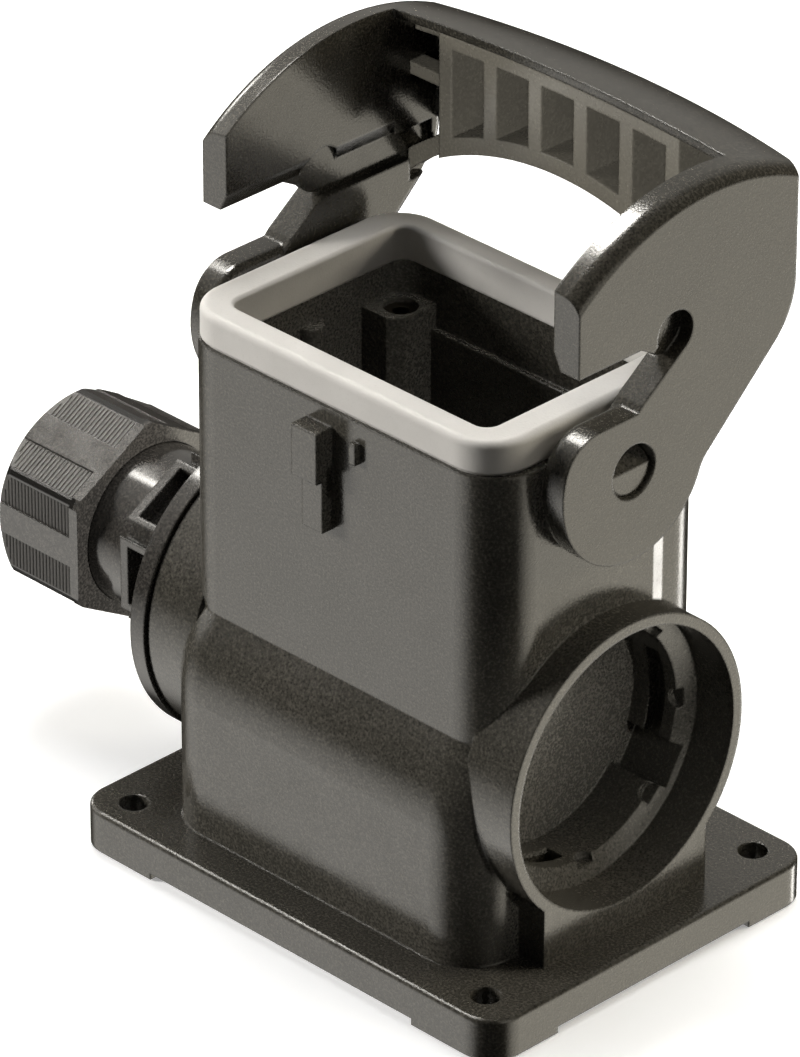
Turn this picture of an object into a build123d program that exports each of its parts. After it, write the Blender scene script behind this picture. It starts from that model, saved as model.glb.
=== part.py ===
from build123d import *
from math import cos, radians, sin, sqrt
import os

# Base housing of a size 6 heavy duty rectangular connector, with its locking lever, rim seal
# and bayonet cable gland. Millimetres, +Z up, +X towards the closed cable entry.
# The origin is the middle of the mounting plane under the base plate.

# Working lengths of cuts: how far one runs past a face, and a span wider than the part
over = 1.0
span = 200.0

# Base plate
plate_length = 83.0
plate_width = 63.8
plate_corner = 5.2
plate_top = 6.4
pad_height = 1.0
pad_start_x = 26.0
pad_start_y = 19.0
mount_spacing_x = 70.0
mount_spacing_y = 53.0
mount_hole = 4.3
plate_edge_round = 0.6

# Body, upper and lower parts
body_length = 60.4
body_width = 42.4
body_corner = 7.0
rim_z = 81.4
bend_z = 39.9
foot_flare = 0.7
foot_bulge = 4.3
foot_corner = 8.0
foot_z = 27.5
blend_steps = ((0.0, 0.0), (0.25, 0.46), (0.5, 0.77), (0.75, 0.94), (1.0, 1.0))
wall_end = 4.6
wall_side = 3.8
wall_ledge = 1.0
ledge_z = 72.3
foot_wall = 3.5
cavity_corner = 4.0
foot_cavity_top = 33.0
end_pad_width = 24.0
end_pad_stand = 0.7
end_pad_slope = 2.6
stub_radius = 2.0
stub_y = -0.5
stub_top = 77.0

# Cable entries
entry_z = 31.6
collar_radius = 22.7
collar_length = 9.2
collar_reach = 4.8
block_width = 32.0
bore_radius = 21.0
bore_depth = 6.9
ring_radius = 18.0
ring_depth = 9.3
ring_lead = 1.2
track_radius = 20.0
track_inset = 3.0
track_width = 3.0
closed_wall = 1.8
sleeve_radius = 21.8
bayonet_count = 3
bayonet_angle = 20.0
bayonet_phase = -31.0
bayonet_lock = 45.0
catch_count = 8
catch_radius = 1.5
catch_depth = 1.1
open_wall_radius = 15.0

# Contact insert fixing bosses
boss_inset_x = 3.6
boss_inset_y = 3.9
boss_top = 76.0
boss_low = 54.0
boss_reach_x = 3.05
boss_reach_y = 4.1
boss_cut = 1.85
sleeve_insert_radius = 2.5
sleeve_insert_length = 9.0
sleeve_insert_sink = 0.8
screw_core_radius = 1.2
screw_core_extra = 3.0
insert_waist_depth = 0.35
insert_waist_width = 2.0

# Rim seal
seal_height = 5.3
seal_set_back = 0.1
seal_wall_end = 5.3
seal_wall_side = 4.3
seal_opening_corner = 2.2
seal_round = 1.1
seal_shadow = 0.6
seal_groove_width = 2.0
seal_groove_depth = 2.2
seal_groove_inset = 2.4
seal_fit = 0.1

# Coding rib and small rib on the front
tag_width = 4.85
tag_right = 0.0
tag_top = 78.8
tag_middle = 71.0
tag_low = 63.1
tag_stand = 3.1
tag_low_stand = 2.0
tag_low_width = 3.95
small_rib_x = 4.7
small_rib_width = 1.2
small_rib_low = 75.3
small_rib_height = 3.1
small_rib_stand = 1.0

# Locking lever, its outline is given from the pivot as (y, z)
pivot_z = 78.0
pivot_radius = 3.75
pivot_fit = 0.08
pivot_sink = 0.7
pivot_lead_angle = 40.0
arm_gap = 0.3
arm_thickness = 4.7
disc_radius = 13.6
disc_flat = 8.55
disc_shoulder = 6.5
neck_start = 0.6
neck_step = 0.85
slot_radius = 3.35
slot_y = 7.6
slot_z = 18.1
slot_slope = 36.4
slot_front_drop = 0.8
hook_front = -10.85
hook_under = 17.95
hook_nose = (3.45, 16.6)
hook_nose_root = 1.0
crown_y = 14.7
crown_z = -2.7
crown_radius = 39.4
crown_swell = 3.3
crown_edge = ((2.5, 1.6), (1.0, 1.02))
back_y = 31.05
back_corner_z = 13.05
back_round = 12.0
heel = (13.2, -3.5)
heel_round = 5.0
bar_front = 21.3
bar_low = 18.5
bar_wall = 2.4
bar_roof = 1.3
bar_crown = 3.6
arm_slot_depth = 1.3
arm_slot_gap = 0.8
channel_low = 13.6
channel_top = 20.6
channel_depth = 1.3
slot_web = 1.2
slot_web_overlap = 0.5
disc_inner_round = 1.6
eye_chamfer = 0.3

# Grip insert in the lever
grip_gap = 0.15
grip_front = 21.6
rib_pitch = 8.6
rib_count = 6
rib_thickness = 2.5
grip_skin = 1.3
grip_flange = 2.0
grip_tab = 1.9
grip_tab_z = 27.3
grip_tab_front = 25.2
grip_tab_length = 3.0
arch_top = 23.4
arch_radius = 49.0
arch_flange = 2.6

# Bottom cover
cover_thickness = 2.0
cover_ledge = 1.5
cover_fit = 0.15

# Cable gland
gland_tail_radius = 17.6
gland_spigot_radius = 20.6
gland_lug_radius = 19.7
gland_lug_width = 2.4
gland_fit = 0.3
flange_radius = 23.2
flange_thickness = 2.8
hexagon_flats = 25.5
hexagon_length = 13.2
hexagon_rim = 1.6
hexagon_core = 10.0
hexagon_core_relief = 0.6
hexagon_pocket_width = 9.3
hexagon_notch = 2.6
hexagon_notch_depth = 2.4
neck_radius = 12.3
neck_length = 18.0
seal_room_radius = 10.2
seal_room_depth = 12.3
throat_radius = 8.2
gland_hollow = 15.4
gland_hollow_depth = 13.0
gland_cone = 4.0
o_ring_radius = 0.95
o_ring_inset = 3.3
o_ring_fit = 0.08

# Clamping cage and sealing insert
cage_gap = 0.4
cage_length = 4.2
cage_radius = 10.6
cage_tip_radius = 9.3
cage_bore = 8.4
cage_slots = 12
cage_slot_width = 1.0
cage_slot_depth = 3.0
cage_rim = 1.4
insert_radius = 10.0
cable_radius = 6.5

# Cap nut
nut_length = 17.7
nut_overlap = 10.7
nut_flats = 28.5
nut_corner_flats = 32.0
nut_face = 24.6
nut_dome_length = 5.9
nut_dome_swell = 1.0
nut_opening = 8.6
nut_thread_fit = 0.08
nut_thread_length = 13.7
nut_rear_chamfer = 1.0
nut_rear_drop = 1.2
nut_cage_fit = 0.5
nut_mouth_wall = 1.6
grip_zone_width = 5.2
grip_zone_gap = 4.8
grip_zone_depth = 0.25
grip_zone_inset = 1.8

os.makedirs("parts", exist_ok=True)

# Positions that follow from the sizes, along X as distances from the middle of the body
foot_length = body_length + 2 * foot_flare
foot_front = body_width / 2 + foot_bulge
foot_back = body_width / 2
end_pad_x = body_length / 2 + end_pad_stand
boss_x = body_length / 2 - wall_end - boss_inset_x
boss_y = body_width / 2 - wall_side - boss_inset_y
arm_inside = end_pad_x + arm_gap
arm_outside = arm_inside + arm_thickness
collar_end = foot_length / 2 + collar_reach
collar_start = collar_end - collar_length
bore_start = collar_end - bore_depth
ring_start = bore_start - ring_depth
track_start = ring_start + track_inset
gland_tail = ring_start + gland_fit
flange_start = collar_end + gland_fit
flange_end = flange_start + flange_thickness
hexagon_end = flange_end + hexagon_length
neck_end = hexagon_end + neck_length
seal_room_start = neck_end - seal_room_depth
gland_hollow_end = ring_start + gland_hollow_depth
throat_start = gland_hollow_end + gland_cone
o_ring_x = collar_end - o_ring_inset
insert_start = seal_room_start + gland_fit
cage_start = neck_end + cage_gap
cage_end = cage_start + cage_length
nut_start = neck_end - nut_overlap
nut_end = nut_start + nut_length
nut_thread_end = nut_start + nut_thread_length
nut_mouth_start = nut_end - nut_mouth_wall
nut_dome_start = nut_end - nut_dome_length
SIDES = (1, -1)
CORNERS = ((1, 1), (1, -1), (-1, 1), (-1, -1))


def block(x0, x1, y0, y1, z0, z1):
    """A box between two corners."""
    size = Box(x1 - x0, y1 - y0, z1 - z0)
    return Pos((x0 + x1) / 2, (y0 + y1) / 2, (z0 + z1) / 2) * size


def round_block(length, y0, y1, corner, z0, z1):
    """An upright prism with rounded corners, centred in X."""
    outline = Pos(0, (y0 + y1) / 2, z0) * RectangleRounded(length, y1 - y0, corner)
    return extrude(outline, z1 - z0)


def upright_rod(radius, z0, z1):
    """A cylinder along Z between two heights."""
    return Pos(0, 0, (z0 + z1) / 2) * Cylinder(radius, z1 - z0)


def x_rod(radius, x0, x1, y=0.0, z=0.0):
    """A cylinder along X between two stations."""
    outline = Plane.YZ * (Pos(y, z) * Circle(radius))
    return Pos(min(x0, x1), 0, 0) * extrude(outline, abs(x1 - x0))


def x_turned(points, z):
    """A body turned about an axis along X, from (x, radius) points."""
    outline = make_face(Polyline(*[(x, r) for x, r in points], close=True))
    return Pos(0, 0, z) * revolve(outline, Axis.X)


def around_entry(shape, angle):
    """The shape turned by an angle about the axis of the cable entries."""
    return shape.rotate(Axis((0, 0, entry_z), (1, 0, 0)), angle)


def body_blend():
    """The bulge of the lower front, from the sharp bend down to the foot."""
    sections = []
    for drop, share in blend_steps:
        z = bend_z + (foot_z - bend_z) * drop
        front = body_width / 2 + (foot_front - body_width / 2) * share
        start_corner = body_corner + end_pad_stand
        corner = start_corner + (foot_corner - start_corner) * share
        section = RectangleRounded(foot_length, foot_back + front, corner)
        sections.append(Pos(0, (foot_back - front) / 2, z) * section)
    return loft(sections)


def base_plate():
    """The mounting plate with its four corner pads."""
    half_y = plate_width / 2
    plate = round_block(plate_length, -half_y, half_y, plate_corner, 0, plate_top)
    plate = fillet(plate.faces().sort_by(Axis.Z)[-1].edges(), plate_edge_round)
    half_x = plate_length / 2
    plate -= block(-pad_start_x, pad_start_x, -half_y, half_y, 0, pad_height)
    plate -= block(-half_x, half_x, -pad_start_y, pad_start_y, 0, pad_height)
    for sx, sy in CORNERS:
        centre = Pos(sx * mount_spacing_x / 2, sy * mount_spacing_y / 2, 0)
        plate -= centre * Cylinder(mount_hole / 2, 3 * plate_top)
    return plate


def outer_body():
    """The solid outside of the body, before anything is hollowed."""
    half_y = body_width / 2
    upper = round_block(body_length, -half_y, half_y, body_corner, bend_z, rim_z)
    foot = round_block(foot_length, -foot_front, foot_back, foot_corner, pad_height, foot_z)
    return upper + end_pads() + body_blend() + foot


def end_pads():
    """The raised flats of the end faces, under the lever's arms.

    They run into the front corners, and slope back to the wall at the rear."""
    front = -body_width / 2
    edge = end_pad_width / 2
    flat = edge - end_pad_slope
    wall = body_length / 2
    half = [(end_pad_x, front), (end_pad_x, flat), (wall, edge)]
    outline = make_face(Polyline(*half, *[(-x, y) for x, y in reversed(half)], close=True))
    corners = [outline.vertices().sort_by_distance((side * end_pad_x, front, 0))[0]
               for side in SIDES]
    outline = fillet(corners, body_corner + end_pad_stand)
    return Pos(0, 0, bend_z) * extrude(outline, rim_z - bend_z)


def socket_cut(side):
    """The hollow of one bayonet socket, open to the outside."""
    cut = x_turned([(ring_start, 0), (ring_start, ring_radius),
                    (bore_start - ring_lead, ring_radius), (bore_start, bore_radius),
                    (collar_end + over, bore_radius), (collar_end + over, 0)], entry_z)
    width = 2 * ring_radius * sin(radians(bayonet_angle / 2))
    depth = track_radius - ring_radius + catch_radius
    section = Pos(track_start + track_width / 2, track_radius - depth / 2)
    section *= Rectangle(track_width, depth)
    track = revolve(section, Axis.X, revolution_arc=bayonet_lock + bayonet_angle / 2)
    track = Pos(0, 0, entry_z) * track
    for n in range(bayonet_count):
        way = block(ring_start, bore_start, ring_radius - catch_radius, track_radius,
                    entry_z - width / 2, entry_z + width / 2)
        angle = bayonet_phase + n * 360 / bayonet_count
        cut += around_entry(way, angle)
        cut += around_entry(track, angle)
    for n in range(catch_count):
        notch = Cylinder(catch_radius, ring_radius + catch_depth, align=(Align.CENTER,
                         Align.CENTER, Align.MIN))
        notch = Pos(bore_start - ring_lead, 0, entry_z) * Rot(-90, 0, 0) * notch
        cut += around_entry(notch, n * 360 / catch_count)
    return cut if side > 0 else mirror(cut, Plane.YZ)


def entry_collar(side):
    """A cable entry's outside: the round collar and the block that carries it."""
    collar = x_rod(collar_radius, side * collar_start, side * collar_end, 0, entry_z)
    inner = side * (foot_length / 2 - over)
    outer = side * collar_end
    carrier = block(min(inner, outer), max(inner, outer), -block_width / 2, block_width / 2,
                    pad_height, entry_z)
    return collar + carrier


def fixing_boss(sx, sy):
    """A boss in a corner of the mouth that takes one screw of the contact insert."""
    wall_x = body_length / 2 - wall_end
    wall_y = body_width / 2 - wall_side
    inner_x = boss_x - boss_reach_x
    inner_y = boss_y - boss_reach_y
    boss = block(inner_x, wall_x + over, inner_y, wall_y + over, boss_low, boss_top)
    edge = boss.edges().filter_by(Axis.Z).sort_by_distance((0, 0, boss_top))[0]
    boss = chamfer(edge, boss_cut)
    pocket_end = boss_top - sleeve_insert_sink - sleeve_insert_length
    hole = upright_rod(sleeve_insert_radius + seal_fit / 2, pocket_end, boss_top)
    hole += upright_rod(screw_core_radius, pocket_end - screw_core_extra, boss_top)
    boss -= Pos(boss_x, boss_y, 0) * hole
    if sx < 0:
        boss = mirror(boss, Plane.YZ)
    if sy < 0:
        boss = mirror(boss, Plane.XZ)
    return boss


def pivot_pin(side):
    """A stub pin for the lever with a slanted lead-in on its upper half."""
    end = arm_outside - pivot_sink
    reach = 2 * pivot_radius
    pin = x_rod(pivot_radius, end_pad_x - over, end, 0, pivot_z)
    lead = Pos(end, 0, pivot_z) * Rot(0, -pivot_lead_angle, 0)
    lead *= block(0, reach, -reach, reach, -reach, reach)
    upper = block(end_pad_x, end + reach, -reach, reach, pivot_z, pivot_z + reach)
    pin -= lead & upper
    return pin if side > 0 else mirror(pin, Plane.YZ)


def front_ribs():
    """The stepped coding rib and the small rib beside it."""
    face = -body_width / 2
    high = block(tag_right - tag_width, tag_right, face - tag_stand, face + over,
                 tag_middle, tag_top)
    low = block(tag_right - tag_low_width, tag_right, face - tag_low_stand, face + over,
                tag_low, tag_middle + over)
    half = small_rib_width / 2
    small = block(small_rib_x - half, small_rib_x + half, face - small_rib_stand, face + over,
                  small_rib_low, small_rib_low + small_rib_height)
    return high + low + small


def housing_body():
    """The one-piece moulded housing."""
    outside = outer_body()
    body = outside + base_plate()
    inner_y = body_width / 2 - wall_side
    mouth = round_block(body_length - 2 * wall_end, -inner_y, inner_y, cavity_corner,
                        ledge_z, rim_z + over)
    low_y = inner_y - wall_ledge
    mouth += round_block(body_length - 2 * wall_end, -low_y, low_y, cavity_corner,
                         foot_cavity_top - over, ledge_z)
    foot_room = round_block(foot_length - 2 * foot_wall, -foot_front + foot_wall,
                            foot_back - foot_wall, cavity_corner, 0, foot_cavity_top)
    body -= mouth + foot_room
    body -= extrude(cover_outline(0.0), pad_height + cover_thickness)
    for side in SIDES:
        inner = side * (ring_start - closed_wall)
        sleeve = x_rod(sleeve_radius, inner, side * (collar_start + over), 0, entry_z)
        body += sleeve & outside
        body += entry_collar(side)
    for side in SIDES:
        body -= socket_cut(side)
        body += pivot_pin(side)
    body -= x_rod(open_wall_radius, -ring_start - over, -ring_start + closed_wall + over,
                  0, entry_z)
    for sx, sy in CORNERS:
        body += fixing_boss(sx, sy)
    for side in SIDES:
        x = side * (body_length / 2 - wall_end)
        body += Pos(x, stub_y, 0) * upright_rod(stub_radius, boss_low, stub_top)
    body += front_ribs()
    body -= seal_ring(seal_groove_width, rim_z - seal_groove_depth, rim_z)
    return body


def cover_outline(gap):
    """The outline of the bottom cover, or of its rebate, shrunk by a gap."""
    length = foot_length - 2 * foot_wall + 2 * cover_ledge - 2 * gap
    front = -foot_front + foot_wall - cover_ledge + gap
    back = foot_back - foot_wall + cover_ledge - gap
    return Pos(0, (front + back) / 2) * RectangleRounded(length, back - front, cavity_corner)


def bottom_cover():
    """The flat cover that closes the housing from below."""
    return Pos(0, 0, pad_height) * extrude(cover_outline(cover_fit), cover_thickness)


def seal_ring(width, z0, z1):
    """A ring that follows the middle of the rim."""
    outer_x = body_length - 2 * seal_groove_inset + width
    outer_y = body_width - 2 * seal_groove_inset + width
    middle_corner = body_corner - seal_groove_inset
    outer = Pos(0, 0, z0) * RectangleRounded(outer_x, outer_y, middle_corner + width / 2)
    inner = Pos(0, 0, z0) * RectangleRounded(outer_x - 2 * width, outer_y - 2 * width,
                                             middle_corner - width / 2)
    return extrude(outer, z1 - z0) - extrude(inner, z1 - z0)


def profile_seal():
    """The soft seal on the rim of the housing, with its tongue in the rim's groove."""
    top = rim_z + seal_height
    seal_length = body_length - 2 * seal_set_back
    outer = Pos(0, 0, rim_z) * RectangleRounded(seal_length, body_width, body_corner)
    seal = extrude(outer, seal_height)
    seal = fillet(seal.faces().sort_by(Axis.Z)[-1].edges(), seal_round)
    opening = RectangleRounded(body_length - 2 * seal_wall_end, body_width - 2 * seal_wall_side,
                               seal_opening_corner)
    seal -= extrude(Pos(0, 0, rim_z) * opening, seal_height)
    inner_edges = seal.faces().sort_by(Axis.Z)[-1].inner_wires()[0].edges()
    seal = fillet(inner_edges, seal_round / 2)
    shrink = 2 * seal_shadow
    lip = extrude(outer, seal_shadow)
    lip -= extrude(Pos(0, 0, rim_z) * RectangleRounded(seal_length - shrink,
                   body_width - shrink, body_corner - seal_shadow), seal_shadow)
    seal -= lip
    tongue = seal_ring(seal_groove_width - 2 * seal_fit, rim_z - seal_groove_depth + seal_fit,
                       rim_z)
    return seal + tongue


def arm_outline():
    """The side of the lever, seen from +X, about the pivot."""
    slope = (cos(radians(slot_slope)), sin(radians(slot_slope)))
    foot = (neck_start + neck_step, disc_flat + neck_step)
    slot_right = (slot_y + slot_radius * slope[1], slot_z - slot_radius * slope[0])
    slot_far = (slot_y, slot_z + slot_radius)
    slot_left = (slot_y - slot_radius, slot_z - slot_front_drop)
    radius = crown_radius + crown_swell
    front_top = crown_z + sqrt(radius ** 2 - (hook_front - crown_y) ** 2)
    back_top = crown_z + sqrt(radius ** 2 - (back_y - crown_y) ** 2)
    disc_end = (-sqrt(disc_radius ** 2 - disc_flat ** 2), disc_flat)
    lines = [
        Line((neck_start, disc_flat), foot),
        Line(foot, slot_right),
        ThreePointArc(slot_right, slot_far, slot_left),
        Line(slot_left, hook_nose),
        Line(hook_nose, (hook_nose_root, hook_under)),
        Line((hook_nose_root, hook_under), (hook_front, hook_under)),
        Line((hook_front, hook_under), (hook_front, front_top)),
        ThreePointArc((hook_front, front_top), (crown_y, crown_z + radius),
                      (back_y, back_top)),
        Line((back_y, back_top), (back_y, back_corner_z)),
        Line((back_y, back_corner_z), heel),
        ThreePointArc(heel, (0, -disc_radius), disc_end),
        Line(disc_end, (neck_start, disc_flat)),
    ]
    outline = Sketch() + make_face(lines)
    for corner, radius in (((back_y, back_corner_z), back_round), (heel, heel_round),
                           (disc_end, disc_shoulder)):
        vertex = outline.vertices().sort_by_distance((*corner, 0))[0]
        outline = fillet(vertex, radius)
    return outline - Circle(pivot_radius + pivot_fit)


def barrel(drop):
    """The swollen crown of the lever, turned about the crown's middle and lowered by a drop."""
    right = [(arm_outside - inset, crown_radius + rise - drop) for inset, rise in crown_edge]
    right.append((arm_outside, crown_radius - drop))
    left = [(-x, radius) for x, radius in right]
    top = (0, crown_radius + crown_swell - drop)
    outline = make_face([ThreePointArc(left[0], top, right[0]), ThreePointArc(*right),
                         Line(right[-1], (arm_outside, 0)),
                         Line((arm_outside, 0), (-arm_outside, 0)),
                         Line((-arm_outside, 0), left[-1]), ThreePointArc(*left)])
    return Pos(0, crown_y, pivot_z + crown_z) * revolve(outline, Axis.X)


def bar_plan(inset):
    """The plan of the lever's back, bulging to the rear in the middle."""
    end = (arm_outside, back_y - inset)
    left = (-arm_outside, back_y - inset)
    middle = (0, back_y + bar_crown - inset)
    outline = make_face([ThreePointArc(left, middle, end), Line(end, (arm_outside, 0)),
                         Line((arm_outside, 0), (-arm_outside, 0)),
                         Line((-arm_outside, 0), left)])
    return extrude(Pos(0, 0, pivot_z) * outline, span)


def bar_solid(half_length, drop, front, low, inset):
    """A stretch of the lever's back, under the crown and inside the plan."""
    window = block(-half_length, half_length, front, span, pivot_z + low, span)
    return window & bar_plan(inset) & barrel(drop)


def lever_arm():
    """The arm on the +X side: disc, neck, catch slot, hook and crown."""
    outline = Plane.YZ * (Pos(0, pivot_z) * arm_outline())
    arm = Pos(arm_inside, 0, 0) * extrude(outline, arm_thickness)
    rim = [edge for edge in arm.faces().sort_by(Axis.X)[0].edges().filter_by(GeomType.CIRCLE)
           if abs(edge.radius - disc_radius) < arm_gap]
    arm = fillet(rim, disc_inner_round)
    eye = [edge for edge in arm.faces().sort_by(Axis.X)[-1].edges().filter_by(GeomType.CIRCLE)
           if abs(edge.radius - pivot_radius) < arm_gap]
    arm = chamfer(eye, eye_chamfer)
    floor = arm_inside + channel_depth
    section = Polyline((arm_inside - over, pivot_z + channel_low),
                       (floor, pivot_z + channel_low), (floor, pivot_z + hook_under),
                       (arm_inside, pivot_z + channel_top),
                       (arm_inside - over, pivot_z + channel_top), close=True)
    channel = extrude(Plane.XZ * make_face(section), span / 2, both=True)
    arm -= channel & block(0, span, hook_front - over, back_y - bar_wall, 0, span)
    web = x_rod(slot_radius + slot_web_overlap, floor, floor + slot_web, slot_y,
                pivot_z + slot_z)
    return (arm + web) & barrel(0.0)


def locking_lever():
    """The U-shaped lever: two arms and the shell of its back."""
    lever = bar_solid(arm_outside, 0.0, bar_front, bar_low, 0.0)
    lever -= bar_solid(arm_inside, bar_roof, 0.0, 0.0, bar_wall)
    arm = lever_arm()
    lever += arm
    lever += mirror(arm, Plane.YZ)
    for low, high in grip_slots():
        depth = arm_inside + arm_slot_depth
        lever -= block(-depth, depth, grip_tab_front - arm_slot_gap,
                       grip_tab_front + grip_tab_length + arm_slot_gap, low, high)
    return lever


def arch_height(x, radius):
    """Height of the arched lower edge of the grip at a distance from the middle."""
    return pivot_z + arch_top - arch_radius + sqrt(radius ** 2 - x ** 2)


def grip_slots():
    """Lower and upper heights of the slots that hold the grip in the arms."""
    middle = pivot_z + grip_tab_z
    half = grip_tab / 2 + arm_slot_gap
    low = arch_height(arm_inside + arm_slot_depth, arch_radius)
    high = arch_height(arm_inside, arch_radius + arch_flange)
    return ((middle - half, middle + half), (low - arm_slot_gap, high + arm_slot_gap))


def arch(radius):
    """A long cylinder along Y under the grip, for its arched lower edge."""
    axis_z = pivot_z + arch_top - arch_radius
    return Pos(0, 0, axis_z) * Rot(90, 0, 0) * Cylinder(radius, span)


def grip_insert():
    """The ribbed insert behind the fingers, closed at its back and open to the front."""
    half = rib_pitch * (rib_count - 1) / 2 + rib_thickness / 2
    drop = bar_roof + grip_gap
    inset = bar_wall + grip_gap
    grip = bar_solid(half, drop, grip_front, 0.0, inset)
    grip -= arch(arch_radius)
    room = bar_solid(half, drop + grip_flange, 0.0, 0.0, inset + grip_skin)
    room -= arch(arch_radius + arch_flange)
    for n in range(rib_count - 1):
        x = (n - (rib_count - 2) / 2) * rib_pitch
        width = rib_pitch - rib_thickness
        window = block(x - width / 2, x + width / 2, 0, span, 0, span)
        grip -= room & window
    tab_back = grip_tab_front + grip_tab_length
    depth = arm_inside + arm_slot_depth - grip_gap
    middle = pivot_z + grip_tab_z
    roof = bar_solid(arm_inside - grip_gap, drop, grip_tab_front, 0.0, inset)
    roof -= bar_solid(arm_inside, drop + grip_flange, 0.0, 0.0, 0.0)
    sill = block(-depth, depth, grip_tab_front, tab_back, pivot_z, middle)
    sill = (sill & arch(arch_radius + arch_flange)) - arch(arch_radius)
    tab = block(-depth, depth, grip_tab_front, tab_back,
                middle - grip_tab / 2, middle + grip_tab / 2)
    ends = roof + sill + tab
    middle_run = half - rib_thickness / 2
    ends -= block(-middle_run, middle_run, 0, span, 0, span)
    return grip + ends


def thread_insert(sx, sy):
    """The metal thread insert of one boss, with two knurled bands."""
    top = boss_top - sleeve_insert_sink
    z0 = top - sleeve_insert_length
    middle = (z0 + top) / 2
    half = insert_waist_width / 2
    insert = upright_rod(sleeve_insert_radius, z0, top)
    waist = upright_rod(sleeve_insert_radius, middle - half, middle + half)
    waist -= upright_rod(sleeve_insert_radius - insert_waist_depth, z0, top)
    insert -= waist
    insert -= upright_rod(screw_core_radius, z0, top)
    return Pos(sx * boss_x, sy * boss_y, 0) * insert


def hexagon(flats, x0, x1):
    """A hexagonal prism about the gland's axis, with flats to the front and back."""
    outline = Plane.YZ * (Pos(0, entry_z) * RegularPolygon(flats / 2, 6, major_radius=False,
                                                           rotation=30))
    return Pos(-x1, 0, 0) * extrude(outline, x1 - x0)


def gland_body():
    """The gland's body: bayonet tail, flange, wrench collar and threaded neck."""
    spigot_start = bore_start + gland_fit
    rim_start = hexagon_end - hexagon_rim
    core = hexagon_core - hexagon_core_relief
    body = x_turned([(-gland_tail, gland_hollow), (-gland_tail, gland_tail_radius),
                     (-spigot_start, gland_tail_radius), (-spigot_start, gland_spigot_radius),
                     (-flange_start, gland_spigot_radius), (-flange_start, flange_radius),
                     (-flange_end, flange_radius), (-flange_end, core), (-rim_start, core),
                     (-rim_start, neck_radius), (-neck_end, neck_radius),
                     (-neck_end, seal_room_radius), (-seal_room_start, seal_room_radius),
                     (-seal_room_start, throat_radius), (-throat_start, throat_radius),
                     (-gland_hollow_end, gland_hollow)], entry_z)
    collar = hexagon(hexagon_flats, flange_end, hexagon_end)
    face = hexagon_flats / 2
    corner = face / cos(radians(30))
    for n in range(6):
        pocket = block(-rim_start, -flange_end, hexagon_core, face + over,
                       entry_z - hexagon_pocket_width / 2, entry_z + hexagon_pocket_width / 2)
        collar -= around_entry(pocket, n * 60)
        notch = block(-hexagon_end, -flange_end, corner - hexagon_notch_depth, corner + over,
                      entry_z - hexagon_notch / 2, entry_z + hexagon_notch / 2)
        collar -= around_entry(notch, 30 + n * 60)
    collar -= x_rod(throat_radius, -hexagon_end, -flange_end, 0, entry_z)
    body += collar
    width = 2 * ring_radius * sin(radians(bayonet_angle / 2)) - 2 * gland_fit
    for n in range(bayonet_count):
        lug = block(-track_start - gland_fit - gland_lug_width, -track_start - gland_fit,
                    gland_tail_radius - over, gland_lug_radius,
                    entry_z - width / 2, entry_z + width / 2)
        body += around_entry(lug, bayonet_phase + bayonet_lock + n * 360 / bayonet_count)
    return body - entry_torus(o_ring_radius + o_ring_fit)


def entry_torus(radius):
    """A ring of round section just inside the bore of the left entry."""
    middle = bore_radius - o_ring_fit - o_ring_radius
    return Pos(-o_ring_x, 0, entry_z) * Rot(0, 90, 0) * Torus(middle, radius)


def gland_o_ring():
    """The round seal between the gland's spigot and the bore of its entry."""
    return entry_torus(o_ring_radius)


def clamping_cage():
    """The ring of fingers that the cap nut presses on to the cable seal."""
    outline = [(-cage_start, cage_bore), (-cage_start, cage_radius),
               (-cage_start - cage_rim, cage_radius), (-cage_end, cage_tip_radius),
               (-cage_end, cage_bore)]
    cage = x_turned(outline, entry_z)
    slot_start = cage_end - cage_slot_depth
    for n in range(cage_slots):
        slot = block(-cage_end - over, -slot_start, cage_bore - over, cage_radius + over,
                     entry_z - cage_slot_width / 2, entry_z + cage_slot_width / 2)
        cage -= around_entry(slot, n * 360 / cage_slots)
    return cage


def sealing_insert():
    """The soft cable seal inside the gland, with the bore for the cable."""
    lip = cage_bore - gland_fit
    outline = [(-insert_start, cable_radius), (-insert_start, insert_radius),
               (-neck_end, insert_radius), (-cage_start, lip), (-cage_end, lip),
               (-cage_end, cable_radius)]
    return x_turned(outline, entry_z)


def nut_envelope():
    """The turned shape that rounds the nut's front and breaks its rear corners."""
    corner = nut_corner_flats / 2 + nut_dome_swell
    rise = corner - nut_face / 2
    length = sqrt(nut_dome_length ** 2 + rise ** 2)
    middle = (-nut_dome_start - nut_dome_length / 2 - nut_dome_swell * rise / length,
              nut_face / 2 + rise / 2 + nut_dome_swell * nut_dome_length / length)
    rear = (-nut_start - nut_rear_chamfer, corner)
    outline = make_face([Line((-nut_start, 0), (-nut_start, corner - nut_rear_drop)),
                         Line((-nut_start, corner - nut_rear_drop), rear),
                         Line(rear, (-nut_dome_start, corner)),
                         ThreePointArc((-nut_dome_start, corner), middle,
                                       (-nut_end, nut_face / 2)),
                         Line((-nut_end, nut_face / 2), (-nut_end, 0)),
                         Line((-nut_end, 0), (-nut_start, 0))])
    return Pos(0, 0, entry_z) * revolve(outline, Axis.X)


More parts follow.
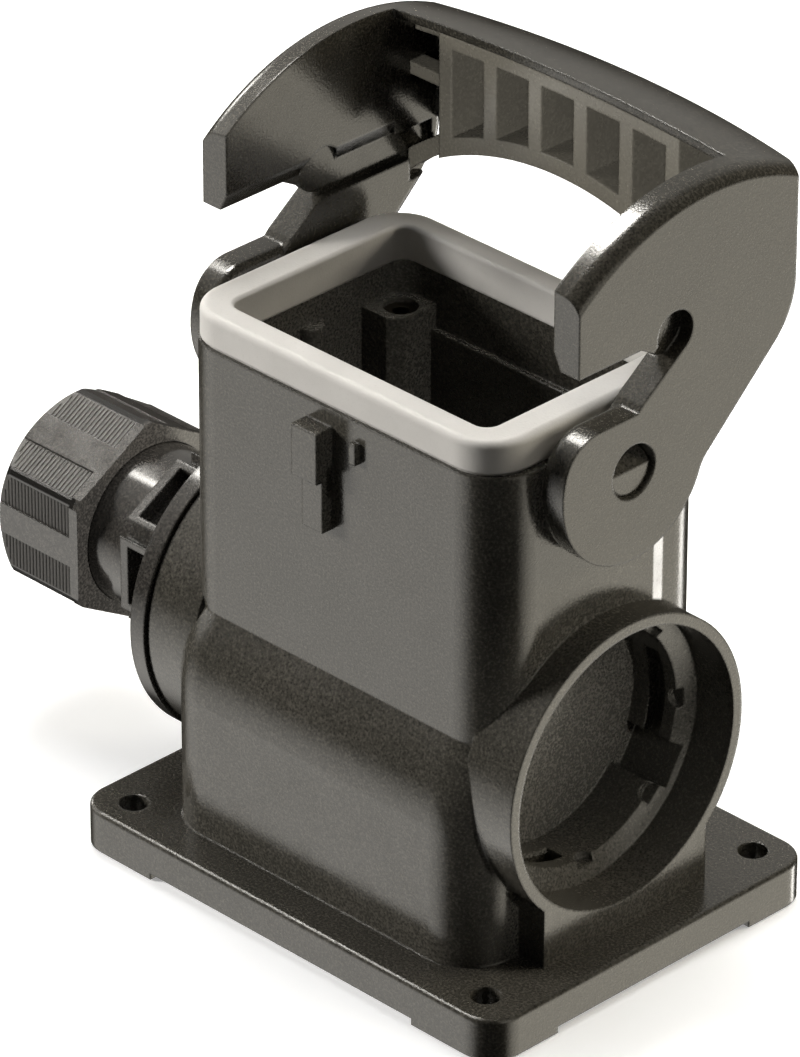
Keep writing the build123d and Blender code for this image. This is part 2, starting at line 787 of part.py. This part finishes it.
def cap_nut():
    """The domed hexagonal cap nut of the gland."""
    nut = hexagon(nut_flats, nut_start, nut_end)
    trim = Plane.YZ * (Pos(0, entry_z) * RegularPolygon(nut_corner_flats / 2, 6,
                                                        major_radius=False, rotation=0))
    nut &= Pos(-nut_end, 0, 0) * extrude(trim, nut_end - nut_start)
    nut &= nut_envelope()
    flat = nut_flats / 2
    for n in range(6):
        for side in SIDES:
            z = entry_z + side * (grip_zone_gap + grip_zone_width) / 2
            zone = block(-nut_end - over, -nut_start - grip_zone_inset,
                         flat - grip_zone_depth, flat + over,
                         z - grip_zone_width / 2, z + grip_zone_width / 2)
            nut -= around_entry(zone, n * 60)
    thread = neck_radius + nut_thread_fit
    room = x_turned([(-nut_start + over, 0), (-nut_start + over, thread),
                     (-nut_thread_end, thread), (-nut_thread_end, cage_radius + nut_cage_fit),
                     (-nut_mouth_start, cage_tip_radius + nut_cage_fit),
                     (-nut_mouth_start, nut_opening), (-nut_end - over, nut_opening),
                     (-nut_end - over, 0)], entry_z)
    return nut - room


export_step(housing_body(), "parts/housing_body.step")
export_step(bottom_cover(), "parts/bottom_cover.step")
export_step(profile_seal(), "parts/profile_seal.step")
export_step(locking_lever(), "parts/locking_lever.step")
export_step(grip_insert(), "parts/lever_grip.step")
for number, (sx, sy) in enumerate(CORNERS, 1):
    export_step(thread_insert(sx, sy), f"parts/thread_insert_{number}.step")
export_step(gland_body(), "parts/gland_body.step")
export_step(gland_o_ring(), "parts/gland_o_ring.step")
export_step(sealing_insert(), "parts/gland_cable_seal.step")
export_step(clamping_cage(), "parts/gland_clamping_cage.step")
export_step(cap_nut(), "parts/gland_cap_nut.step")
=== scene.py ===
import bpy
import bmesh
from math import cos, radians, sin
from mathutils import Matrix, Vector


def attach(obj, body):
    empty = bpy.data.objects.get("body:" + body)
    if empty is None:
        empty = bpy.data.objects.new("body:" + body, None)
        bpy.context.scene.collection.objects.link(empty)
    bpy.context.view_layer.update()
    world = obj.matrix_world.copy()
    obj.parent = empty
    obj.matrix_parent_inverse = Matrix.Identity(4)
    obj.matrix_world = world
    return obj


# Base housing of a heavy duty rectangular connector: its finishes, the fine ribs of its cap
# nut, the stage, the light and the camera. Metres, in the same frame as the solids.

MM = 0.001
ENTRY_Z = 0.0316  # height of the cable entry's axis

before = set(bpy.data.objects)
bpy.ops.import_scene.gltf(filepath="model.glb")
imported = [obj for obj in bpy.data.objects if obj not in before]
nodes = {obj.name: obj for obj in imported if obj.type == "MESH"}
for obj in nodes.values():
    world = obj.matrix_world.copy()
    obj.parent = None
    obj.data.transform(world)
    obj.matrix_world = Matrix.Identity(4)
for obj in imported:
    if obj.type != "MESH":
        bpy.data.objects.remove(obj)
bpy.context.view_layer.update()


# Materials

GRAIN = 0.0004  # size of the spark-eroded grain
GRAIN_HEIGHT = GRAIN * 0.2
CLOUD_SCALE, SMEAR_SCALE = 55.0, 160.0  # noise scales of the tint and the handling smears
SOFT_EDGE, CRISP_EDGE = 0.0005, 0.0002  # radii of the rounded edges
BEVEL_SAMPLES = 4
SPECULAR = 0.9  # specular level of the moulded plastics
ROUGH_LESS, ROUGH_MORE = -0.05, 0.06  # how far handling smears change the roughness

# The cap nut: how far its grip zones, corners and dome are painted dark as shade, and their
# roughness
GRIP_PAINTED_SHADE, SMOOTH_PAINTED_SHADE = 0.35, 0.85
GRIP_ROUGHER, SMOOTH_ROUGH = 0.3, 0.12

# Where the cap nut's zones begin and end, in millimetres: (start, end) of each soft edge
ZONE_INNER = (2.36, 2.44)
ZONE_OUTER = (7.26, 7.34)
ZONE_REAR = (-61.14, -61.06)
CORNER_EDGE = (7.26, 7.4)
CORNER_REAR = (-60.36, -60.26)
DOME_REACH = (12.6, 13.8)
DOME_FRONT = (-72.0, -71.0)


class Nodes:
    """A small helper to build a node tree from left to right."""

    def __init__(self, material):
        material.use_nodes = True
        self.tree = material.node_tree
        self.tree.nodes.clear()

    def add(self, kind, **settings):
        node = self.tree.nodes.new(kind)
        for name, value in settings.items():
            setattr(node, name, value)
        return node

    def link(self, start, end):
        self.tree.links.new(start, end)

    def feed(self, socket, value):
        """Set a socket to a number or a colour, or link it to another socket."""
        if isinstance(value, (int, float)):
            socket.default_value = value
        elif isinstance(value, tuple):
            socket.default_value = (*value, 1.0)
        else:
            self.link(value, socket)

    def place(self):
        """The point on the object, in the shared frame."""
        return self.add("ShaderNodeTexCoord").outputs["Object"]

    def noise(self, vector, scale, detail=2.0, rough=0.5):
        node = self.add("ShaderNodeTexNoise")
        node.inputs["Scale"].default_value = scale
        node.inputs["Detail"].default_value = detail
        node.inputs["Roughness"].default_value = rough
        self.link(vector, node.inputs["Vector"])
        return node.outputs["Fac"]

    def ramp(self, value, low, high):
        """A colour between two others, over the middle of a noise."""
        node = self.add("ShaderNodeValToRGB")
        for element, position, colour in zip(node.color_ramp.elements, (0.3, 0.7), (low, high)):
            element.position = position
            element.color = (*colour, 1.0)
        self.link(value, node.inputs["Fac"])
        return node.outputs["Color"]

    def span(self, value, low, high, start=0.3, end=0.7):
        """A number that goes from low to high while the value goes from start to end."""
        node = self.add("ShaderNodeMapRange")
        node.inputs["From Min"].default_value = start
        node.inputs["From Max"].default_value = end
        node.inputs["To Min"].default_value = low
        node.inputs["To Max"].default_value = high
        self.link(value, node.inputs["Value"])
        return node.outputs["Result"]

    def rise(self, value, edge):
        """0 before an edge and 1 after it, the edge in millimetres."""
        return self.span(value, 0.0, 1.0, edge[0] * MM, edge[1] * MM)

    def fall(self, value, edge):
        """1 before an edge and 0 after it, the edge in millimetres."""
        return self.span(value, 1.0, 0.0, edge[0] * MM, edge[1] * MM)

    def mix(self, factor, first, second):
        """A colour between two others."""
        node = self.add("ShaderNodeMix", data_type="RGBA")
        for number, value in ((0, factor), (6, first), (7, second)):
            self.feed(node.inputs[number], value)
        return node.outputs[2]

    def blend(self, factor, first, second):
        """A number between two others."""
        node = self.add("ShaderNodeMix", data_type="FLOAT")
        for number, value in ((0, factor), (2, first), (3, second)):
            self.feed(node.inputs[number], value)
        return node.outputs[0]

    def math(self, operation, *values):
        node = self.add("ShaderNodeMath", operation=operation)
        for socket, value in zip(node.inputs, values):
            self.feed(socket, value)
        return node.outputs["Value"]

    def bump(self, height, strength, distance, edge):
        """A bumped normal on top of edges that are rounded by a radius."""
        soft = self.add("ShaderNodeBevel", samples=BEVEL_SAMPLES)
        soft.inputs["Radius"].default_value = edge
        node = self.add("ShaderNodeBump")
        node.inputs["Strength"].default_value = strength
        node.inputs["Distance"].default_value = distance
        self.link(height, node.inputs["Height"])
        self.link(soft.outputs["Normal"], node.inputs["Normal"])
        return node.outputs["Normal"]

    def principled(self, colour, rough, normal):
        """The main shader with its linked colour, roughness and normal."""
        shader = self.add("ShaderNodeBsdfPrincipled")
        self.link(colour, shader.inputs["Base Color"])
        self.link(rough, shader.inputs["Roughness"])
        self.link(normal, shader.inputs["Normal"])
        return shader

    def surface(self, output, kind="ShaderNodeOutputMaterial"):
        """Make a shader's output the surface of the material or world."""
        self.link(output, self.add(kind).inputs["Surface"])


def shade(level):
    """A display value of 0 to 255 as a linear one."""
    part = level / 255.0
    return part / 12.92 if part <= 0.04045 else ((part + 0.055) / 1.055) ** 2.4


def tone(red, green, blue):
    """A display colour as a linear one."""
    return (shade(red), shade(green), shade(blue))


def scaled(colour, factor):
    """A colour made darker or lighter."""
    return tuple(part * factor for part in colour)


def grain_layers(tree, place, dark, light, fleck=1.0):
    """The colour, the grain and the handling smears of a spark-eroded plastic."""
    cloud = tree.noise(place, CLOUD_SCALE, 3.0)
    speck = tree.noise(place, 1.0 / GRAIN, 2.0, 0.6)
    smear = tree.noise(place, SMEAR_SCALE, 4.0, 0.65)
    colour = tree.ramp(cloud, dark, light)
    pale = tree.mix(tree.span(speck, 0.0, 0.7 * fleck, 0.53, 0.7), colour, scaled(light, 1.6))
    colour = tree.mix(tree.span(speck, 1.0 - fleck, 1.0, 0.34, 0.6), scaled(dark, 0.6), pale)
    return colour, speck, smear


def grained(name, dark, light, rough, depth=0.25, fleck=1.0):
    """Moulded plastic with a spark-eroded grain, soft edges and a faint handling sheen."""
    material = bpy.data.materials.new(name)
    tree = Nodes(material)
    colour, speck, smear = grain_layers(tree, tree.place(), dark, light, fleck)
    level = tree.span(smear, rough + ROUGH_LESS, rough + ROUGH_MORE)
    shader = tree.principled(colour, level, tree.bump(speck, depth, GRAIN_HEIGHT, SOFT_EDGE))
    shader.inputs["Specular IOR Level"].default_value = SPECULAR
    tree.surface(shader.outputs["BSDF"])
    return material


def nut_zones(tree, place):
    """Masks of the cap nut's six pairs of grip zones and of its smoother corners and dome, the
    areas that are painted dark as shade.
    """
    axes = tree.add("ShaderNodeSeparateXYZ")
    tree.link(place, axes.inputs["Vector"])
    along, side = axes.outputs["X"], axes.outputs["Y"]
    up = tree.math("SUBTRACT", axes.outputs["Z"], ENTRY_Z)
    turn = tree.math("WRAP", tree.math("ARCTAN2", up, side), radians(30), radians(-30))
    square = tree.math("ADD", tree.math("MULTIPLY", side, side), tree.math("MULTIPLY", up, up))
    radius = tree.math("SQRT", square)
    offset = tree.math("ABSOLUTE", tree.math("MULTIPLY", radius, tree.math("SINE", turn)))
    reach = tree.math("MULTIPLY", radius, tree.math("COSINE", turn))
    band = tree.math("MULTIPLY", tree.rise(offset, ZONE_INNER), tree.fall(offset, ZONE_OUTER))
    zone = tree.math("MULTIPLY", band, tree.fall(along, ZONE_REAR))
    corner = tree.math("MULTIPLY", tree.rise(offset, CORNER_EDGE),
                       tree.fall(along, CORNER_REAR))
    dome = tree.math("MULTIPLY", tree.fall(reach, DOME_REACH), tree.fall(along, DOME_FRONT))
    return zone, tree.math("MAXIMUM", corner, dome)


def ribbed_nut(name, dark, light, rough):
    """The grained plastic of the cap nut, with rougher grip zones and smoother corners and
    dome, all painted darker as shade.
    """
    material = bpy.data.materials.new(name)
    tree = Nodes(material)
    place = tree.place()
    colour, speck, smear = grain_layers(tree, place, dark, light)
    zone, smooth_and_shaded = nut_zones(tree, place)
    # Painted shade: the grip zones, then the corners and dome, are darkened in the colour
    colour = tree.mix(tree.math("MULTIPLY", zone, GRIP_PAINTED_SHADE), colour, scaled(dark, 0.2))
    colour = tree.mix(tree.math("MULTIPLY", smooth_and_shaded, SMOOTH_PAINTED_SHADE), colour, scaled(dark, 0.1))
    level = tree.span(smear, rough + ROUGH_LESS, rough + ROUGH_MORE)
    level = tree.blend(zone, level, rough + GRIP_ROUGHER)
    level = tree.blend(smooth_and_shaded, level, SMOOTH_ROUGH)
    shader = tree.principled(colour, level, tree.bump(speck, 0.06, GRAIN_HEIGHT, CRISP_EDGE))
    shader.inputs["Specular IOR Level"].default_value = SPECULAR
    tree.surface(shader.outputs["BSDF"])
    return material


def soft_rubber(name, dark, light, rough):
    """Soft rubber or foam with a faint mottling and a few pores."""
    material = bpy.data.materials.new(name)
    tree = Nodes(material)
    place = tree.place()
    cloud = tree.noise(place, 120.0, 4.0, 0.6)
    pore = tree.noise(place, 3200.0)
    colour = tree.mix(tree.span(pore, 0.0, 0.35, 0.6, 0.8), tree.ramp(cloud, dark, light),
                      scaled(dark, 0.75))
    level = tree.span(cloud, rough - 0.05, rough + 0.08)
    shader = tree.principled(colour, level, tree.bump(pore, 0.3, 0.00008, SOFT_EDGE))
    tree.surface(shader.outputs["BSDF"])
    return material


def turned_metal(name, dark, light, rough):
    """Turned and dull plated metal with fine rings and a little tarnish."""
    material = bpy.data.materials.new(name)
    tree = Nodes(material)
    place = tree.place()
    cloud = tree.noise(place, 400.0, 4.0, 0.6)
    rings = tree.add("ShaderNodeTexWave", wave_type="BANDS", bands_direction="Z")
    rings.inputs["Scale"].default_value = 900.0
    rings.inputs["Distortion"].default_value = 0.4
    tree.link(place, rings.inputs["Vector"])
    shader = tree.principled(tree.ramp(cloud, dark, light),
                             tree.span(cloud, rough, rough + 0.15),
                             tree.bump(rings.outputs["Fac"], 0.25, 0.00003, CRISP_EDGE))
    shader.inputs["Metallic"].default_value = 1.0
    tree.surface(shader.outputs["BSDF"])
    return material


housing_grain = grained("moulded_housing", tone(61, 59, 53), tone(69, 66, 60), 0.18)
lever_grain = grained("moulded_lever", tone(54, 52, 46), tone(62, 59, 53), 0.18)
# Painted light: the grip's colour is lighter than the lever's plastic, standing in for light
# that its ribs and windows don't get
grip_grain_painted_light = grained("moulded_grip", tone(72, 69, 62), tone(80, 77, 69), 0.26, depth=0.12,
                     fleck=0.4)
gland_grain = grained("moulded_gland", tone(53, 51, 48), tone(61, 58, 54), 0.15, depth=0.06)
nut_grain = ribbed_nut("moulded_nut", tone(56, 54, 51), tone(64, 61, 57), 0.15)
seal_rubber = soft_rubber("rim_seal_rubber", tone(190, 187, 182), tone(200, 197, 192), 0.55)
dark_rubber = soft_rubber("dark_rubber", tone(30, 30, 30), tone(42, 41, 40), 0.6)
insert_metal = turned_metal("turned_insert", tone(120, 114, 102), tone(146, 140, 126), 0.34)

# The four thread inserts take the metal, every other node one of these
finishes = {
    "housing_body": housing_grain,
    "bottom_cover": housing_grain,
    "profile_seal": seal_rubber,
    "locking_lever": lever_grain,
    "lever_grip": grip_grain_painted_light,
    "gland_body": gland_grain,
    "gland_o_ring": dark_rubber,
    "gland_cable_seal": dark_rubber,
    "gland_clamping_cage": gland_grain,
    "gland_cap_nut": nut_grain,
}

for name, node in nodes.items():
    node.data.materials.clear()
    node.data.materials.append(finishes.get(name, insert_metal))


# Fine ribs in the grip zones of the cap nut, in millimetres from the nut's axis

RIB_PITCH = 0.7
RIB_HALF = 0.3  # half the width of a rib's foot
RIB_FLOOR = 13.97
RIB_TOP = 14.06
RIB_SIDES = (2.5, 7.2)  # where the ribs begin and end beside the middle of a flat
RIB_START = -61.5
RIB_GAP = 0.1  # room kept under the dome
RIB_SHORTEST = 0.6
DOME = ((-71.1, 17.0), (-74.67, 15.43), (-77.0, 12.3))  # (place along the axis, radius)


def dome_radius(x):
    """The radius of the nut's turned front at a place along its axis."""
    if x > DOME[0][0]:
        return DOME[0][1]
    for (x0, r0), (x1, r1) in zip(DOME, DOME[1:]):
        if x1 <= x <= x0:
            return r0 + (r1 - r0) * (x - x0) / (x1 - x0)
    return 0.0


def rib(shape, out, across, x, near, far):
    """One rib as a closed prism with a three-sided section."""
    ring = []
    for beside in (near, far):
        for step, height in ((RIB_HALF, RIB_FLOOR), (0.0, RIB_TOP), (-RIB_HALF, RIB_FLOOR)):
            point = out * height + across * beside
            point += Vector((x + step, 0.0, ENTRY_Z / MM))
            ring.append(shape.verts.new(point * MM))
    a, b, c, d, e, f = ring
    for face in ((a, b, c), (f, e, d), (a, d, e, b), (b, e, f, c), (c, f, d, a)):
        shape.faces.new(face)


def nut_ribs():
    """Raised ribs across each grip zone, which end where the nut's front rounds off."""
    shape = bmesh.new()
    for turn in range(6):
        out = Vector((0.0, cos(radians(60 * turn)), sin(radians(60 * turn))))
        across = Vector((0.0, -out.z, out.y))
        for side in (1, -1):
            x = RIB_START
            while x > DOME[-1][0]:
                room = dome_radius(x - RIB_HALF) ** 2 - RIB_TOP ** 2
                end = min(RIB_SIDES[1], max(room, 0.0) ** 0.5 - RIB_GAP)
                if end > RIB_SIDES[0] + RIB_SHORTEST:
                    rib(shape, out, across, x, side * RIB_SIDES[0], side * end)
                x -= RIB_PITCH
    bmesh.ops.recalc_face_normals(shape, faces=shape.faces)
    mesh = bpy.data.meshes.new("nut_grip_ribs")
    shape.to_mesh(mesh)
    shape.free()
    ribs = bpy.data.objects.new("nut_grip_ribs", mesh)
    bpy.context.scene.collection.objects.link(ribs)
    mesh.materials.append(nut_grain)
    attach(ribs, "nut")


nut_ribs()


# Stage, light and camera

WHITE = (1.0, 1.0, 1.0)
PAPER = (0.96, 0.96, 0.96)
PAPER_BOUNCE = (0.12, 0.12, 0.12)  # the floor's colour for every ray but the camera's
PAPER_GLOW = 0.3  # emission for the camera's rays, so that the paper is white
FLOOR_HALF = 3.0
FLOOR_DROP = 0.0002

WARM = (1.0, 0.94, 0.8)
MILD = (1.0, 0.97, 0.91)
DAY = (1.0, 0.985, 0.96)
WARM_FROM, WARM_TO = 0.2, 0.4  # towards +X the sheen turns from mild to warm

ROOM_LEVEL = 0.03  # diffuse light from all sides
ROOM_SHEEN = 0.02  # what the sheen sees beside the cards

# Soft cards: azimuth and height in degrees, inner and outer radius in degrees, brightness
CARDS = (
    (-136, -44, 5, 38, 1.42),
    (46, -44, 5, 38, 1.9),
    (77, -30, 5, 8, 6.0),
    (-178, 53, 4.0, 5.0, 16.0),
    (-172, 50, 6, 26, 0.7),
    (135, 35, 25, 45, 0.42),
    (0, 10, 15, 30, 1.0),
    (-160, 20, 10, 25, 1.2),
    (167, 62, 7.0, 9.0, 40.0),
    (167, 16, 4.0, 7.0, 14.0),
)

MIDDLE = (0, 0, 0.05)

# Square lamps: name, place, target, side, power and colour
LAMPS = (
    ("left", (-1.05, -0.8, 0.45), MIDDLE, 0.4, 26.0, DAY),
    ("right", (0.8, 1.1, 0.45), MIDDLE, 0.4, 10.0, WARM),
    ("top", (-0.2, 0.35, 1.4), MIDDLE, 0.8, 17.0, WHITE),
    ("top_end", (0.7, 0.6, 1.2), MIDDLE, 0.5, 4.0, WARM),
    ("grip_fill", (0.6, -0.75, 0.45), (0, 0.03, 0.1), 0.3, 19.0, WHITE),
    ("gland_fill", (1.0, -0.1, 0.3), (-0.06, 0, 0.03), 0.3, 15.0, WHITE),
)

# Spot lamps for the openings: name, place, target, cone in degrees and power
SPOTS = (
    ("mouth_fill", (0.5, 0.0, 0.75), (-0.012, 0.0, 0.068), 4.0, 18.0),
    ("socket_fill", (0.3, 0.0, 0.09), (0.02, 0.0, 0.03), 7.2, 6.0),
)
SPOT_BLEND = 0.35
SPOT_RADIUS = 0.02

# The lamps that light one node, which alone shades them
FILLS = {"grip_fill": "lever_grip", "gland_fill": "gland_cap_nut", "mouth_fill": "housing_body"}

CAMERA_PLACE = (0.6757, -0.6782, 0.6012)
CAMERA_TILT, CAMERA_TURN = 60.278, 45.443  # degrees
CAMERA_LENS = 272.82
CAMERA_SENSOR = 36.0
CAMERA_SHIFT = 0.0221
CAMERA_FAR = 20.0


def floor_paper():
    """A matt pale surface that the object's sheen looks through."""
    material = bpy.data.materials.new("floor_paper")
    tree = Nodes(material)
    place = tree.place()
    shader = tree.add("ShaderNodeBsdfPrincipled")
    cloud = tree.noise(place, 6.0, 3.0)
    pale = tree.ramp(cloud, PAPER, scaled(PAPER, 1.02))
    path = tree.add("ShaderNodeLightPath")
    tree.link(tree.mix(path.outputs["Is Camera Ray"], PAPER_BOUNCE, pale),
              shader.inputs["Base Color"])
    shader.inputs["Roughness"].default_value = 0.9
    shader.inputs["Emission Color"].default_value = (*WHITE, 1.0)
    tree.link(tree.math("MULTIPLY", path.outputs["Is Camera Ray"], PAPER_GLOW),
              shader.inputs["Emission Strength"])
    clear = tree.add("ShaderNodeBsdfTransparent")
    either = tree.add("ShaderNodeMixShader")
    tree.link(path.outputs["Is Glossy Ray"], either.inputs["Fac"])
    tree.link(shader.outputs["BSDF"], either.inputs[1])
    tree.link(clear.outputs["BSDF"], either.inputs[2])
    tree.surface(either.outputs["Shader"])
    return material


def make_floor():
    """A pale flat floor just below the object."""
    mesh = bpy.data.meshes.new("floor")
    half = FLOOR_HALF
    mesh.from_pydata([(-half, -half, 0), (half, -half, 0), (half, half, 0), (-half, half, 0)],
                     [], [(0, 1, 2, 3)])
    floor = bpy.data.objects.new("floor", mesh)
    bpy.context.scene.collection.objects.link(floor)
    floor.location.z = -FLOOR_DROP
    mesh.materials.append(floor_paper())


def place_lamp(data, place, target):
    """A lamp that points at a target and isn't mirrored in the object."""
    lamp = bpy.data.objects.new(data.name, data)
    bpy.context.scene.collection.objects.link(lamp)
    lamp.location = place
    lamp.visible_glossy = False
    aim = Vector(target) - Vector(place)
    lamp.rotation_euler = aim.to_track_quat("-Z", "Y").to_euler()
    return lamp


def make_lamp(name, place, target, side, power, colour):
    """A square soft lamp."""
    data = bpy.data.lights.new(name, "AREA")
    data.shape = "RECTANGLE"
    data.size = side
    data.size_y = side
    data.energy = power
    data.color = colour
    return place_lamp(data, place, target)


def make_spot(name, place, target, cone, power):
    """A small lamp for the inside of an opening, its cone in degrees."""
    data = bpy.data.lights.new(name, "SPOT")
    data.energy = power
    data.spot_size = radians(cone)
    data.spot_blend = SPOT_BLEND
    data.shadow_soft_size = SPOT_RADIUS
    return place_lamp(data, place, target)


def only_for(lamp, name):
    """Let a lamp light one node and be shaded by it alone."""
    for role in ("receiver_collection", "blocker_collection"):
        group = bpy.data.collections.new(f"{lamp.name}_{role}")
        group.objects.link(nodes[name])
        setattr(lamp.light_linking, role, group)


def make_world():
    """A dim room whose soft cards are seen only in the object's sheen."""
    world = bpy.data.worlds.new("room")
    bpy.context.scene.world = world
    tree = Nodes(world)
    place = tree.add("ShaderNodeTexCoord").outputs["Generated"]
    total = None
    for azimuth, height, inner, outer, strength in CARDS:
        turn, lift = radians(azimuth), radians(height)
        dot = tree.add("ShaderNodeVectorMath", operation="DOT_PRODUCT")
        dot.inputs[1].default_value = (cos(turn) * cos(lift), sin(turn) * cos(lift), sin(lift))
        tree.link(place, dot.inputs[0])
        card = tree.span(dot.outputs["Value"], 0.0, strength, cos(radians(outer)),
                         cos(radians(inner)))
        total = card if total is None else tree.math("ADD", total, card)
    sheen = tree.math("ADD", total, ROOM_SHEEN)
    path = tree.add("ShaderNodeLightPath")
    seen = tree.blend(path.outputs["Is Glossy Ray"], ROOM_LEVEL, sheen)
    seen = tree.blend(path.outputs["Is Camera Ray"], seen, 1.0)
    back = tree.add("ShaderNodeBackground")
    side = tree.add("ShaderNodeSeparateXYZ")
    tree.link(place, side.inputs["Vector"])
    tint = tree.mix(tree.span(side.outputs["X"], 0.0, 1.0, WARM_FROM, WARM_TO), MILD, WARM)
    tree.link(tree.mix(path.outputs["Is Glossy Ray"], WHITE, tint), back.inputs["Color"])
    tree.link(seen, back.inputs["Strength"])
    tree.surface(back.outputs["Background"], "ShaderNodeOutputWorld")


def make_camera():
    """The photograph's viewpoint."""
    data = bpy.data.cameras.new("camera")
    data.sensor_fit = "VERTICAL"
    data.sensor_height = CAMERA_SENSOR
    data.lens = CAMERA_LENS
    data.shift_x = CAMERA_SHIFT
    data.clip_end = CAMERA_FAR
    camera = bpy.data.objects.new("camera", data)
    bpy.context.scene.collection.objects.link(camera)
    camera.location = CAMERA_PLACE
    camera.rotation_euler = (radians(CAMERA_TILT), 0.0, radians(CAMERA_TURN))
    bpy.context.scene.camera = camera


make_floor()
make_world()
for lamp in [make_lamp(*row) for row in LAMPS] + [make_spot(*row) for row in SPOTS]:
    if lamp.name in FILLS:
        only_for(lamp, FILLS[lamp.name])
make_camera()

bpy.context.scene.view_settings.view_transform = "Standard"
